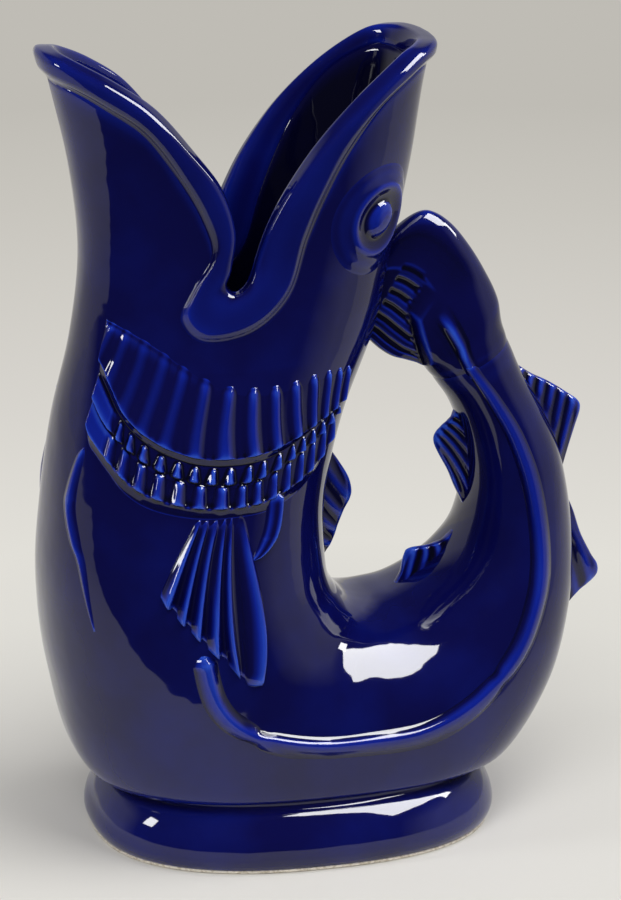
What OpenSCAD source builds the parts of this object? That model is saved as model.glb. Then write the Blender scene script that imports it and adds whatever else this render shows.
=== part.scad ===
// Fish-shaped gurgle jug in slip-cast, glazed earthenware.
// The hollow body turns under the hand loop and runs on into the hollow tail, which is the handle.
// +Z is up, the spout points to -X, and the origin is the centre of the foot's underside.

/* [Body] */
// Height of the mould, a little above the two tips of the mouth
mould_height = 250; // [230:1:270]
// Length that all front-to-back places are shares of
mould_length = 100; // [92:1:108]
// Width of the belly
belly_width = 92; // [84:1:100]
// Thickness of the cast wall
wall = 4.5; // [3.5:0.1:5.5]

/* [Mouth] */
// How far the rolled lip stands out from the body
lip_proud = 1.8; // [1:0.1:2.5]

/* [Foot] */
// Height of the plinth, up to the body's underside
foot_height = 20; // [17:0.5:23]
// Length of the plinth at its widest
foot_length = 124; // [118:1:130]
// Width of the plinth at its widest
foot_width = 99; // [92:1:106]
// Depth of the hollow under the plinth
foot_recess = 9; // [6:0.5:11]

/* [Reliefs] */
// How far the gill collar's ribs stand out
collar_proud = 2.2; // [1.4:0.1:3]
// How far the pectoral fins' ribs stand out
pectoral_proud = 3; // [2:0.1:4]
// Width of the raised bead along each flank
ridge_width = 6; // [4:0.1:7]
// How far that bead stands out
ridge_proud = 2; // [1:0.1:2.6]
// How far the eyes stand out
eye_proud = 2.6; // [1.5:0.1:3.2]
// Height of the small fins at their tips
fin_height = 10.6; // [8:0.1:13]
// Thickness of the small fins at their roots
fin_thickness = 7; // [5:0.1:9]
// Depth of the grooves between the tail fin's rays, either way from its face
tail_fin_ray_depth = 0.9; // [0.4:0.05:1.2]

/* [Hidden] */

glaze = [0.05, 0.07, 0.42];
bare_clay = [0.82, 0.76, 0.66];

// How deep the sprigged pieces sit in the wall that carries them
luting_depth = 0.3;

// Number of facets round the body, and round one side of it
around = 44;
half_around = around / 2;

// Sections of the body and the tail, from above the mouth to the tail's end.
// Each row: outer point x and z, inner point x and z, half width, squareness
section_shares = [
    [-0.765, 1.02, 0.455, 1.02, 0.7, 2.4],
    [-0.703, 0.92, 0.4, 0.92, 0.66, 2.4],
    [-0.648, 0.82, 0.362, 0.82, 0.632, 2.3],
    [-0.624, 0.72, 0.31, 0.72, 0.615, 2.3],
    [-0.653, 0.62, 0.256, 0.62, 0.68, 2.2],
    [-0.71, 0.52, 0.155, 0.52, 0.79, 2.2],
    [-0.745, 0.42, 0.095, 0.42, 0.89, 2.2],
    [-0.76, 0.32, 0.095, 0.335, 0.97, 2.25],
    [-0.73, 0.208, 0.125, 0.304, 1, 2.3],
    [-0.635, 0.088, 0.16, 0.286, 1, 2.4],
    [-0.38, 0.004, 0.2, 0.278, 1, 2.5],
    [-0.05, -0.02, 0.245, 0.276, 0.99, 2.5],
    [0.3, -0.012, 0.29, 0.28, 0.95, 2.4],
    [0.6, 0.056, 0.34, 0.286, 0.87, 2.3],
    [0.79, 0.156, 0.4, 0.3, 0.76, 2.2],
    [0.868, 0.262, 0.47, 0.322, 0.65, 2.1],
    [0.876, 0.352, 0.525, 0.354, 0.55, 2],
    [0.845, 0.434, 0.555, 0.408, 0.47, 2],
    [0.79, 0.494, 0.545, 0.462, 0.4, 2],
    [0.72, 0.544, 0.505, 0.508, 0.345, 2],
    [0.66, 0.596, 0.435, 0.548, 0.3, 2]
];
// The first row's height, and the step down to each of the next rows of the head and neck
top_share = 1.02;
row_step_share = 0.1;
// Where the head, the throat, the belly, the tail's root and the tail end, as rows of the table
neck_row_share = 4.2;
throat_end_row_share = 6.8;
belly_end_row_share = 10.6;
seam_row_share = 14;
tail_end_row_share = 20;

// The head is narrower towards the spout and wider towards the upper jaw by this share,
// in full above the first of two rows and not at all below the second
jaw_spread_share = 0.12;
jaw_spread_row_shares = [1.6, 3.6];

// The mouth, from the spout's tip to the upper jaw's tip.
// Each row: mouth edge x and z, then x and z of the rolled lip's outer edge
lip_shares = [
    [-0.76, 0.972, -0.74, 0.938],
    [-0.68, 0.958, -0.66, 0.928],
    [-0.575, 0.937, -0.58, 0.91],
    [-0.46, 0.906, -0.475, 0.88],
    [-0.35, 0.857, -0.38, 0.828],
    [-0.265, 0.812, -0.315, 0.78],
    [-0.226, 0.764, -0.29, 0.738],
    [-0.238, 0.722, -0.35, 0.696],
    [-0.255, 0.7, -0.38, 0.664],
    [-0.228, 0.69, -0.32, 0.64],
    [-0.186, 0.702, -0.18, 0.649],
    [-0.155, 0.734, -0.07, 0.688],
    [-0.122, 0.768, -0.015, 0.752],
    [-0.06, 0.812, 0.04, 0.804],
    [0.04, 0.864, 0.11, 0.854],
    [0.17, 0.912, 0.21, 0.902],
    [0.31, 0.951, 0.33, 0.934],
    [0.38, 0.961, 0.38, 0.938],
    [0.43, 0.962, 0.417, 0.931]
];

// A point at place t on a smooth curve through the rows of a table
function along(rows, t) =
    let (last = len(rows) - 1, i = min(max(floor(t), 0), last - 1), f = t - i,
         p1 = rows[i], p2 = rows[i + 1],
         p0 = i > 0 ? rows[i - 1] : 2 * p1 - p2,
         p3 = i + 2 <= last ? rows[i + 2] : 2 * p2 - p1)
    p1 + f / 2 * (p2 - p0 + f * (2 * p0 - 5 * p1 + 4 * p2 - p3 + f * (3 * (p1 - p2) + p3 - p0)));

// A signed power, which squares a circle's sine and cosine towards a rounded box
function squared(v, squareness) = sign(v) * pow(abs(v), 2 / squareness);

// Half the width at row t and angle a of a section whose table gives this share
function half_width(t, a, share) =
    let (f = (jaw_spread_row_shares[1] - t) / (jaw_spread_row_shares[1] - jaw_spread_row_shares[0]),
         fade = max(0, min(1, f)))
    share * belly_width / 2 * (1 - jaw_spread_share * fade * fade * (3 - 2 * fade) * cos(a));

// A point of the body at section t and angle a, where 0 is the outer side and 180 the inner side.
// A positive out stands off the surface, and a negative one lies in the wall
function skin(t, a, out = 0) =
    let (r = along(section_shares, t),
         outer = [r[0] * mould_length, r[1] * mould_height],
         inner = [r[2] * mould_length, r[3] * mould_height],
         arm = (outer - inner) / 2,
         p = (outer + inner) / 2 + arm * (1 + out / norm(arm)) * squared(cos(a), r[5]))
    [p[0], (half_width(t, a, r[4]) + out) * squared(sin(a), r[5]), settled(p[1], foot_height - min(out, 0))];

// A height kept above a floor, with a soft turn where the underside flattens
underside_turn_radius = 3;
function settled(z, floor_z) = floor_z + (z - floor_z + norm([z - floor_z, underside_turn_radius])) / 2;

// The section row that lies at a height, for the head and the neck
function row_at(z) = (top_share - z / mould_height) / row_step_share;

// The place on the skin, as section row and angle, of a point seen from the side
function place_at(x, z) =
    let (t = row_at(z), r = along(section_shares, t),
         c = (2 * x / mould_length - r[0] - r[2]) / (r[0] - r[2]))
    [t, acos(max(-1, min(1, sign(c) * pow(abs(c), r[5] / 2))))];

// Places of the mouth edge and of the lip's outer edge for each of the facets round the body
function lip_row(j) = along(lip_shares, (len(lip_shares) - 1) * abs(j) / half_around);
function side(j) = j < 0 ? -1 : 1;
function turned(place, j) = [place[0], place[1] * side(j)];
mouth_edge = [for (j = [-half_around + 1 : half_around])
    let (r = lip_row(j)) turned(place_at(r[0] * mould_length, r[1] * mould_height), j)];
lip_edge = [for (j = [-half_around + 1 : half_around])
    let (r = lip_row(j)) turned(place_at(r[2] * mould_length, r[3] * mould_height), j)];
neck_edge = [for (j = [-half_around + 1 : half_around]) [neck_row_share, 180 * j / half_around]];

// One ring of points, a share v of the way between two rows of places
function ring_between(from, to, v, out) =
    [for (j = [0 : around - 1]) let (p = from[j] + v * (to[j] - from[j])) skin(p[0], p[1], out)];
function ring_at(t, out) = [for (j = [-half_around + 1 : half_around]) skin(t, 180 * j / half_around, out)];

// A closed solid through a list of rings. joined runs the last ring back to the first one,
// and otherwise the first and the last ring are closed with a fan round their middles
module through(rings, joined = false) {
    n = len(rings[0]);
    m = len(rings);
    points = [for (ring = rings, p = ring) p];
    quads = [for (i = [0 : m - (joined ? 1 : 2)], j = [0 : n - 1])
        let (a = i * n + j, b = i * n + (j + 1) % n,
             c = (i + 1) % m * n + (j + 1) % n, d = (i + 1) % m * n + j)
        each [[a, c, b], [a, d, c]]];
    caps = joined ? [] : [for (j = [0 : n - 1]) each [
        [m * n, j, (j + 1) % n],
        [m * n + 1, (m - 1) * n + (j + 1) % n, (m - 1) * n + j]]];
    ends = joined ? [] : [middle(rings[0]), middle(rings[m - 1])];
    polyhedron(concat(points, ends), concat(quads, caps));
}
function sum(list, i = 0) = i == len(list) - 1 ? list[i] : list[i] + sum(list, i + 1);
function middle(ring) = sum(ring) / len(ring);
function reversed(rings) = [for (i = [1 : len(rings)]) rings[len(rings) - i]];

// The head, from the mouth's lip to the gills
head_rows = 8;
module head() {
    shell = [for (k = [0 : head_rows]) ring_between(lip_edge, neck_edge, k / head_rows, 0)];
    bore = [for (k = [0 : head_rows]) ring_between(neck_edge, lip_edge, k / head_rows, -wall)];
    color(glaze) through(concat(shell, bore), joined = true);
}

// A stretch of the hollow body between two rows, open at both of its ends
shell_steps_per_row = 2.2;
bore_steps_per_row = 1.1;
module stretch(first_row, last_row) {
    rows = last_row - first_row;
    shell_steps = ceil(rows * shell_steps_per_row);
    bore_steps = ceil(rows * bore_steps_per_row);
    shell = [for (k = [0 : shell_steps]) ring_at(first_row + rows * k / shell_steps, 0)];
    bore = [for (k = [0 : bore_steps]) ring_at(last_row - rows * k / bore_steps, -wall)];
    color(glaze) through(concat(shell, bore), joined = true);
}
module throat() {
    stretch(neck_row_share, throat_end_row_share);
}
module belly() {
    stretch(throat_end_row_share, belly_end_row_share);
}
module tail_root() {
    stretch(belly_end_row_share, seam_row_share);
}

tail_rows = 11;
bore_end_row_share = tail_end_row_share - 1;
module tail() {
    bore = [for (k = [0 : tail_rows])
        ring_at(bore_end_row_share + (seam_row_share - bore_end_row_share) * k / tail_rows, -wall)];
    shell = [for (k = [0 : tail_rows])
        ring_at(seam_row_share + (tail_end_row_share - seam_row_share) * k / tail_rows, 0)];
    color(glaze) through(concat(bore, shell));
}

// The rolled lip's section. Each row: share of the way up from its outer edge to the mouth edge,
// share of lip_proud that it stands out, share of the wall that it lies in
lip_section_shares = [
    [0, 0, 1], [0.5, 0, 1.1], [0.96, 0, 0.95], [1, 0, 0.45], [0.96, 0, 0],
    [0.8, 0.9, 0], [0.45, 1.1, 0], [0.1, 0.8, 0], [0, 0, 0]
];
module mouth_rim() {
    color(glaze) through([for (s = lip_section_shares)
        ring_between(lip_edge, mouth_edge, s[0], s[1] * lip_proud - s[2] * wall)], joined = true);
}

// The plinth's section. Each row: share of the height above the bare ring, share of foot_shoulder
// that it lies inside the plinth's widest line
foot_squareness = 2.4;
foot_ring_width = 9;
foot_ring_height = 1.2;
foot_shoulder = 7;
foot_shares = [
    [0, 0.25], [0.08, 0.1], [0.2, 0], [0.34, 0.02], [0.5, 0.14], [0.66, 0.36], [0.8, 0.64],
    [0.9, 0.95], [1, 1]
];
function foot_plan(inset) = [for (j = [0 : around - 1]) let (a = 360 * j / around)
    [(foot_length / 2 - inset) * squared(cos(a), foot_squareness),
     (foot_width / 2 - inset) * squared(sin(a), foot_squareness)]];
function lifted(plan, z) = [for (p = plan) [p[0], p[1], z]];
foot_sole_inset = foot_shares[0][1] * foot_shoulder;
module foot() {
    recess_inset = foot_sole_inset + foot_ring_width;
    top = foot_height + luting_depth;
    sides = [for (f = foot_shares)
        lifted(foot_plan(f[1] * foot_shoulder), foot_ring_height + f[0] * (top - foot_ring_height))];
    color(glaze) through(concat([
        lifted(foot_plan(recess_inset + wall / 2), foot_recess),
        lifted(foot_plan(recess_inset), foot_recess * 0.7),
        lifted(foot_plan(recess_inset), foot_ring_height)], sides));
}

// The bare ring that the jug stands on, wiped clean of glaze before the firing
module foot_ring() {
    color(bare_clay) linear_extrude(foot_ring_height) difference() {
        polygon(foot_plan(foot_sole_inset));
        polygon(foot_plan(foot_sole_inset + foot_ring_width));
    }
}

// A point beside the plane of symmetry: in the wall at section t, across mm from the plane,
// on the outer side (facing 0) or the inner side (facing 180)
function beside(t, facing, across) =
    let (r = along(section_shares, t), a = asin(pow(abs(across) / (r[4] * belly_width / 2), r[5] / 2)))
    skin(t, facing == 0 ? side(across) * a : side(across) * (180 - a), -luting_depth);
function above(t, facing, out, across) = let (p = skin(t, facing, out)) [p[0], across, p[2]];

// Small fins that stand in the plane of symmetry. Each row: section row, share of fin_height
back_fin_shares = [
    [7.2, 0], [6.85, 0.42], [6.6, 0.62], [6.4, 0.8], [6.24, 0.98], [6.12, 1],
    [5.95, 0.86], [5.76, 0.54], [5.5, 0]
];
tail_inner_upper_shares = [
    [18.75, 0], [18.6, 0.2], [18.49, 0.54], [18.36, 0.78], [18.15, 0.86], [17.8, 0.77],
    [17.37, 0.56], [16.94, 0.34], [16.5, 0]
];
tail_inner_lower_shares = [
    [15.8, 0], [15.4, 0.12], [15.1, 0.35], [14.8, 0.62], [14.5, 0.7], [14.2, 0.6], [13.8, 0.42],
    [13.4, 0.2], [12.9, 0]
];
tail_outer_upper_shares = [
    [16.7, 0], [17.08, 0.4], [17.37, 0.72], [17.66, 1.04], [17.84, 1.06], [18.07, 0.86],
    [18.48, 0.52], [18.75, 0.26], [19.1, 0]
];
tail_outer_lower_shares = [
    [14.6, 0], [14.95, 0.46], [15.1, 0.76], [15.24, 1.02], [15.36, 1], [15.49, 0.76],
    [15.75, 0.44], [16.1, 0.22], [16.4, 0]
];
fin_steps = 12;
module small_fin(shares, facing) {
    last = len(shares) - 1;
    rings = [for (k = [0 : fin_steps])
        let (edge = along(shares, last * k / fin_steps),
             root = shares[0][0] + (shares[last][0] - shares[0][0]) * k / fin_steps,
             high = max(edge[1], 0) * fin_height, half = fin_thickness / 2,
             waist = half * (k % 2 == 0 ? 0.6 : 0.9),
             mid = (root + edge[0]) / 2)
        [beside(root, facing, -half),
         above(mid, facing, high * 0.5, -waist),
         above(edge[0], facing, high * 0.9, -half * 0.55),
         above(edge[0], facing, high, 0),
         above(edge[0], facing, high * 0.9, half * 0.55),
         above(mid, facing, high * 0.5, waist),
         beside(root, facing, half)]];
    color(glaze) through(rings);
}
module back_fin() {
    small_fin(back_fin_shares, 180);
}
module tail_inner_fin_upper() {
    small_fin(tail_inner_upper_shares, 180);
}
module tail_inner_fin_lower() {
    small_fin(tail_inner_lower_shares, 180);
}
module tail_outer_fin_upper() {
    small_fin(tail_outer_upper_shares, 0);
}
module tail_outer_fin_lower() {
    small_fin(tail_outer_lower_shares, 0);
}

// Raised beads along a flank. Each row of a path: section row, angle
side_ridge_shares = [
    [7.6, 84], [8.34, 85], [9.14, 89], [10.22, 94], [11.62, 95], [13.18, 91], [14.5, 85], [15.7, 84],
    [17.14, 90], [18.78, 97], [20, 103]
];
throat_ridge_shares = [
    [5.1, 30], [5.26, 28], [5.62, 25], [5.86, 25], [6.22, 30], [6.5, 35], [7.22, 41]
];
pelvic_fin_shares = [[5.7, 116], [5.9, 116.5], [6.1, 116], [6.25, 112], [6.34, 105]];
bead_section_shares = [[-1, 0], [-0.7, 0.75], [0, 1], [0.7, 0.75], [1, 0]];
module bead(path, flank, width, proud, steps, ends) {
    rings = [for (k = [0 : steps])
        let (u = k / steps, p = along(path, (len(path) - 1) * u),
             taper = pow(max(0.05, min(1, min(u, 1 - u) / ends)), 0.5),
             turn = taper * width / 2 / norm(skin(p[0], p[1] + 1) - skin(p[0], p[1])))
        [for (b = bead_section_shares)
            skin(p[0], flank * (p[1] + b[0] * turn), b[1] * (taper * proud + luting_depth) - luting_depth)]];
    color(glaze) through(flank > 0 ? rings : reversed(rings));
}
module side_ridge_left() {
    bead(side_ridge_shares, -1, ridge_width, ridge_proud, 28, 0.06);
}
module side_ridge_right() {
    bead(side_ridge_shares, 1, ridge_width, ridge_proud, 28, 0.06);
}
module throat_ridge_left() {
    bead(throat_ridge_shares, -1, ridge_width, ridge_proud / 2, 10, 0.4);
}
module throat_ridge_right() {
    bead(throat_ridge_shares, 1, ridge_width, ridge_proud / 2, 10, 0.4);
}
module pelvic_fin_left() {
    bead(pelvic_fin_shares, -1, ridge_width * 0.8, ridge_proud, 9, 0.3);
}
module pelvic_fin_right() {
    bead(pelvic_fin_shares, 1, ridge_width * 0.8, ridge_proud, 9, 0.3);
}

// The eye, as rings round its middle. Each row: share of the way out to the ring's crest,
// share of eye_proud that it stands out
eye_middle_shares = [2.57, 140];
eye_length_shares = [0.085, -16];
eye_height_shares = [0.38, 5.5];
eye_section_shares = [
    [1.25, -0.2], [1.15, 0.45], [1, 0.75], [0.84, 0.55], [0.72, 0.05], [0.58, 0.4], [0.34, 0.95]
];
eye_around = 18;
module eye(flank) {
    rings = [for (e = eye_section_shares) [for (j = [0 : eye_around - 1])
        let (a = -flank * 360 * j / eye_around,
             p = eye_middle_shares + e[0] * (cos(a) * eye_length_shares + sin(a) * eye_height_shares))
        skin(p[0], flank * p[1], e[1] * eye_proud)]];
    color(glaze) through(rings);
}
module eye_left() {
    eye(-1);
}
module eye_right() {
    eye(1);
}

// The gill collar's lines. Each row: angle, then the section rows of the ribs' top and low edges,
// and of the low edges of the two rows of beads
collar_shares = [
    [28, 3.84, 4.16, 4.52, 4.86], [37, 3.72, 4.34, 4.74, 5.12], [50, 3.72, 4.56, 4.98, 5.38],
    [66, 3.86, 4.84, 5.25, 5.6], [83, 4.05, 5.08, 5.38, 5.73], [98, 4.22, 5.14, 5.42, 5.74],
    [117, 4.35, 5.1, 5.38, 5.67], [138, 4.4, 4.86, 5.2, 5.54], [158, 4.42, 4.7, 4.96, 5.16],
    [176, 4.44, 4.62, 4.86, 5.02]
];
// Across the collar. Each row: the line above, share of the way to the next line, share of
// collar_proud at the bottom of a groove, share at the top of a rib
collar_section_shares = [
    [1, 0, -0.1, -0.1], [1, 0.3, 0.05, 0.45], [1, 0.85, 0.35, 1], [1, 1, 0.3, 0.85],
    [1, 1.02, 0.1, 0.1], [2, 0.35, 0.15, 0.5], [2, 0.85, 0.35, 1], [2, 1.03, 0.05, 0.05],
    [3, 0.35, 0.15, 0.55], [3, 0.9, 0.45, 1.1], [3, 1, -0.1, -0.1]
];
collar_ribs = 15;
collar_rib_steps = 3;
// The ribs sink into the neck over this many of them at the back
collar_fading_ribs = 4;
module collar(flank) {
    steps = collar_ribs * collar_rib_steps;
    rings = [for (k = [0 : steps])
        let (line = along(collar_shares, (len(collar_shares) - 1) * k / steps),
             rib = k / collar_rib_steps,
             end = pow(min(1, rib, (collar_ribs - rib) / collar_fading_ribs), 0.5))
        [for (c = collar_section_shares)
            let (from = line[c[0]], to = line[min(c[0] + 1, len(line) - 1)],
                 out = k % collar_rib_steps == 0 ? c[2] : c[3])
            skin(from + c[1] * (to - from), flank * line[0], out * (out > 0 ? end : 1) * collar_proud)]];
    color(glaze) through(flank > 0 ? reversed(rings) : rings);
}
module gill_collar_left() {
    collar(-1);
}
module gill_collar_right() {
    collar(1);
}

// The pectoral fin's ribs. Each row: angle and section row at the root, then at the free edge
pectoral_shares = [
    [84, 5.78, 69, 6.78], [87, 5.82, 76.5, 7.02], [90, 5.84, 81.5, 7.22], [93, 5.84, 86.5, 7.5],
    [96, 5.82, 91, 7.84], [99, 5.8, 94, 8.24], [103, 5.78, 99, 8.46]
];
// Across one rib. Each row: share of the rib's width, share of pectoral_proud
pectoral_rib_shares = [[0, 0.25], [0.3, 1], [0.85, 0.7]];
module pectoral_fin(flank) {
    ribs = len(pectoral_shares) - 1;
    places = concat([for (i = [0 : ribs - 1], r = pectoral_rib_shares) [i + r[0], r[1], r[0] == 0 ? 0.94 : 1]],
        [[ribs, 0.2, 0.94]]);
    rings = [for (q = places)
        let (r = along(pectoral_shares, q[0]), root = [r[1], flank * r[0]], tip = [r[3], flank * r[2]],
             free = root + q[2] * (tip - root), half_way = (root + free) / 2)
        [skin(root[0], root[1], -luting_depth),
         skin(half_way[0], half_way[1], q[1] * pectoral_proud * 0.75),
         skin(free[0], free[1], q[1] * pectoral_proud),
         skin(free[0], free[1], -luting_depth),
         skin(half_way[0], half_way[1], -luting_depth)]];
    color(glaze) through(flank > 0 ? reversed(rings) : rings);
}
module pectoral_fin_left() {
    pectoral_fin(-1);
}
module pectoral_fin_right() {
    pectoral_fin(1);
}

// The tail fin, from the tail's end to the back of the head.
// Each row: upper edge x and z, lower edge x and z, half width
tail_fin_shares = [
    [0.66, 0.596, 0.435, 0.548, 0.3], [0.643, 0.638, 0.4, 0.56, 0.26], [0.603, 0.672, 0.36, 0.566, 0.23],
    [0.559, 0.701, 0.32, 0.571, 0.2], [0.508, 0.727, 0.285, 0.58, 0.175], [0.456, 0.743, 0.255, 0.591, 0.155],
    [0.41, 0.746, 0.235, 0.6, 0.14], [0.35, 0.733, 0.225, 0.62, 0.13], [0.288, 0.708, 0.215, 0.64, 0.12]
];
tail_fin_around = 32;
tail_fin_rays = [9, 15];
tail_fin_squareness = 2.3;
module tail_fin() {
    last = len(tail_fin_shares) - 1;
    root_squareness = section_shares[len(section_shares) - 1][5];
    rings = [for (i = [0 : last])
        let (r = tail_fin_shares[i], upper = [r[0] * mould_length, r[1] * mould_height],
             lower = [r[2] * mould_length, r[3] * mould_height],
             squareness = i == 0 ? root_squareness : tail_fin_squareness,
             ray = tail_fin_ray_depth * min(1, max(0, (i - 2) / 2)))
        [for (j = [0 : tail_fin_around - 1])
            let (a = 360 * j / tail_fin_around, row = j <= tail_fin_around / 2 ? j : tail_fin_around - j,
                 inside = row >= tail_fin_rays[0] && row <= tail_fin_rays[1],
                 p = (upper + lower) / 2 + (upper - lower) / 2 * cos(a),
                 y = r[4] * belly_width / 2 * squared(sin(a), squareness)
                     + (inside ? side(sin(a)) * (row % 2 == 0 ? ray : -ray) : 0))
            [p[0], y, p[1]]]];
    color(glaze) through(rings);
}

head();
throat();
belly();
tail_root();
tail();
tail_fin();
foot();
foot_ring();
mouth_rim();
gill_collar_left();
gill_collar_right();
pectoral_fin_left();
pectoral_fin_right();
pelvic_fin_left();
pelvic_fin_right();
eye_left();
eye_right();
side_ridge_left();
side_ridge_right();
throat_ridge_left();
throat_ridge_right();
back_fin();
tail_inner_fin_upper();
tail_inner_fin_lower();
tail_outer_fin_upper();
tail_outer_fin_lower();
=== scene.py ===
import math
import bpy
import bmesh
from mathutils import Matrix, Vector


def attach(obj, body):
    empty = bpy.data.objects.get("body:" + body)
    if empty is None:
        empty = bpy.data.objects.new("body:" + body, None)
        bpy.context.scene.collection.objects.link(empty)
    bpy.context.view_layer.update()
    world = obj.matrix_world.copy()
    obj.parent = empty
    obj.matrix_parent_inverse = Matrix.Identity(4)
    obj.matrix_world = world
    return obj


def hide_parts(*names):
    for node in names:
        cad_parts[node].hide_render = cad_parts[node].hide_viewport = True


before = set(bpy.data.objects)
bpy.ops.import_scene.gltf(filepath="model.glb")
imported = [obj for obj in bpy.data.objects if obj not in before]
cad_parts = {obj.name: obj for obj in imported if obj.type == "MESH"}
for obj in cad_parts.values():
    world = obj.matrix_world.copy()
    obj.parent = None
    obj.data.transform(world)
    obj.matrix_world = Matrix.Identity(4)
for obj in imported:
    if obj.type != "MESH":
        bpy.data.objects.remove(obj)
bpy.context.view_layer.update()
mm = 0.001
sink = 0.35  # millimetres that a sprigged piece sits in what carries it
print("frame loaded:", len(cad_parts), "nodes")


def linear(code):  # sRGB hex to linear colour
    parts = [int(code[i:i + 2], 16) / 255 for i in (1, 3, 5)]
    return [c / 12.92 if c <= 0.04045 else ((c + 0.055) / 1.055) ** 2.4 for c in parts] + [1]


def along(rows, t):  # a point on a smooth curve through the rows of a table
    last = len(rows) - 1
    i = int(min(max(math.floor(t), 0), last - 1))
    f = t - i
    b, c = rows[i], rows[i + 1]
    a = rows[i - 1] if i > 0 else [2 * p - q for p, q in zip(b, c)]
    d = rows[i + 2] if i + 2 <= last else [2 * q - p for p, q in zip(b, c)]
    return [q + f / 2 * (r - p + f * (2 * p - 5 * q + 4 * r - s + f * (3 * (q - r) + s - p)))
            for p, q, r, s in zip(a, b, c, d)]


def slope(rows, k):  # how steeply a curve runs through row k, level at its crests and ends
    if k == 0 or k == len(rows) - 1:
        return 0
    before = (rows[k][1] - rows[k - 1][1]) / (rows[k][0] - rows[k - 1][0])
    after = (rows[k + 1][1] - rows[k][1]) / (rows[k + 1][0] - rows[k][0])
    return 0 if before * after <= 0 else 2 * before * after / (before + after)


def curve(rows, x):  # height at x on a smooth curve through [x, height] rows that never overshoots
    i = 0
    while i < len(rows) - 2 and x > rows[i + 1][0]:
        i += 1
    (x0, y0), (x1, y1) = rows[i], rows[i + 1]
    h = x1 - x0
    f = min(1, max(0, (x - x0) / h))
    return (y0 + (y1 - y0) * f * f * (3 - 2 * f)
            + h * f * (1 - f) * (slope(rows, i) * (1 - f) - slope(rows, i + 1) * f))


def smooth(a, b, x):
    s = min(1, max(0, (x - a) / (b - a)))
    return s * s * (3 - 2 * s)


def band(edges, x):  # rises between the first two edges and falls from the last one back to the third
    rise, full, gone, falls = edges
    return smooth(rise, full, x) * smooth(gone, falls, x)


def squared(v, squareness):
    return math.copysign(abs(v) ** (2 / squareness), v)


# The skin that every piece lies on; its rows are the CAD's, but the last one leads on into the tail fan
skinShape = {
    "length": 100, "height": 250, "width": 92, "wall": 4.5,
    "floor": 20, "undersideTurn": 3, "topShare": 1.02, "rowStep": 0.1,
    "neckRow": 4.2, "tailEndRow": 20,
    "lipFrom": 0.018, "lipTo": 0.993,  # where the two halves of the lip meet, at the spout and the upper jaw
    "jawSpread": 0.12, "spreadRows": (3.6, 1.6),  # the head widens from the spout to the upper jaw
    "rows": [  # outer x and z, inner x and z, half width, squareness
        [-0.765, 1.02, 0.455, 1.02, 0.7, 2.4], [-0.703, 0.92, 0.4, 0.92, 0.66, 2.4],
        [-0.648, 0.82, 0.362, 0.82, 0.632, 2.3], [-0.624, 0.72, 0.31, 0.72, 0.615, 2.3],
        [-0.653, 0.62, 0.256, 0.62, 0.68, 2.2], [-0.71, 0.52, 0.155, 0.52, 0.79, 2.2],
        [-0.745, 0.42, 0.095, 0.42, 0.89, 2.2], [-0.76, 0.32, 0.095, 0.335, 0.97, 2.25],
        [-0.73, 0.208, 0.125, 0.304, 1, 2.3], [-0.635, 0.088, 0.16, 0.286, 1, 2.4],
        [-0.38, 0.004, 0.2, 0.278, 1, 2.5], [-0.05, -0.02, 0.245, 0.276, 0.99, 2.5],
        [0.3, -0.012, 0.29, 0.28, 0.95, 2.4], [0.6, 0.056, 0.34, 0.286, 0.87, 2.3],
        [0.79, 0.156, 0.4, 0.3, 0.76, 2.2], [0.868, 0.262, 0.47, 0.322, 0.65, 2.1],
        [0.876, 0.352, 0.525, 0.354, 0.55, 2], [0.845, 0.434, 0.555, 0.408, 0.47, 2],
        [0.79, 0.494, 0.545, 0.462, 0.4, 2], [0.72, 0.544, 0.505, 0.508, 0.345, 2],
        [0.667, 0.596, 0.435, 0.548, 0.3, 2],
    ],
    "lip": [  # mouth edge x and z, then the rolled lip's outer edge x and z
        [-0.76, 0.972, -0.74, 0.938], [-0.68, 0.958, -0.66, 0.928], [-0.575, 0.937, -0.58, 0.91],
        [-0.46, 0.906, -0.475, 0.88], [-0.35, 0.857, -0.38, 0.828], [-0.265, 0.812, -0.315, 0.78],
        [-0.226, 0.764, -0.29, 0.738], [-0.238, 0.722, -0.35, 0.696], [-0.255, 0.7, -0.38, 0.664],
        [-0.228, 0.69, -0.32, 0.64], [-0.186, 0.702, -0.18, 0.649], [-0.155, 0.734, -0.07, 0.688],
        [-0.122, 0.768, -0.015, 0.752], [-0.06, 0.812, 0.04, 0.804], [0.04, 0.864, 0.11, 0.854],
        [0.17, 0.912, 0.21, 0.902], [0.31, 0.951, 0.33, 0.934], [0.38, 0.961, 0.38, 0.938],
        [0.43, 0.962, 0.417, 0.931],
    ],
}


def skin(t, angle, out=0):  # millimetres; angle 0 is the outer side, 180 the inner side
    k = skinShape
    r = along(k["rows"], t)
    ox, oz, ix, iz = r[0] * k["length"], r[1] * k["height"], r[2] * k["length"], r[3] * k["height"]
    ax, az = (ox - ix) / 2, (oz - iz) / 2
    a = math.radians(angle)
    c = (1 + out / math.hypot(ax, az)) * squared(math.cos(a), r[5])
    z = (oz + iz) / 2 + az * c
    low = k["floor"] - min(out, 0)
    z = low + (z - low + math.hypot(z - low, k["undersideTurn"])) / 2
    half = r[4] * k["width"] / 2 * (1 - k["jawSpread"] * smooth(*k["spreadRows"], t) * math.cos(a))
    return Vector(((ox + ix) / 2 + ax * c, (half + out) * squared(math.sin(a), r[5]), z))


def placeAt(x, z):  # section row and angle of a point seen from the side
    k = skinShape
    t = (k["topShare"] - z / k["height"]) / k["rowStep"]
    r = along(k["rows"], t)
    c = (2 * x / k["length"] - r[0] - r[2]) / (r[0] - r[2])
    return t, math.degrees(math.acos(max(-1, min(1, squared(c, 4 / r[5])))))


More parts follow.
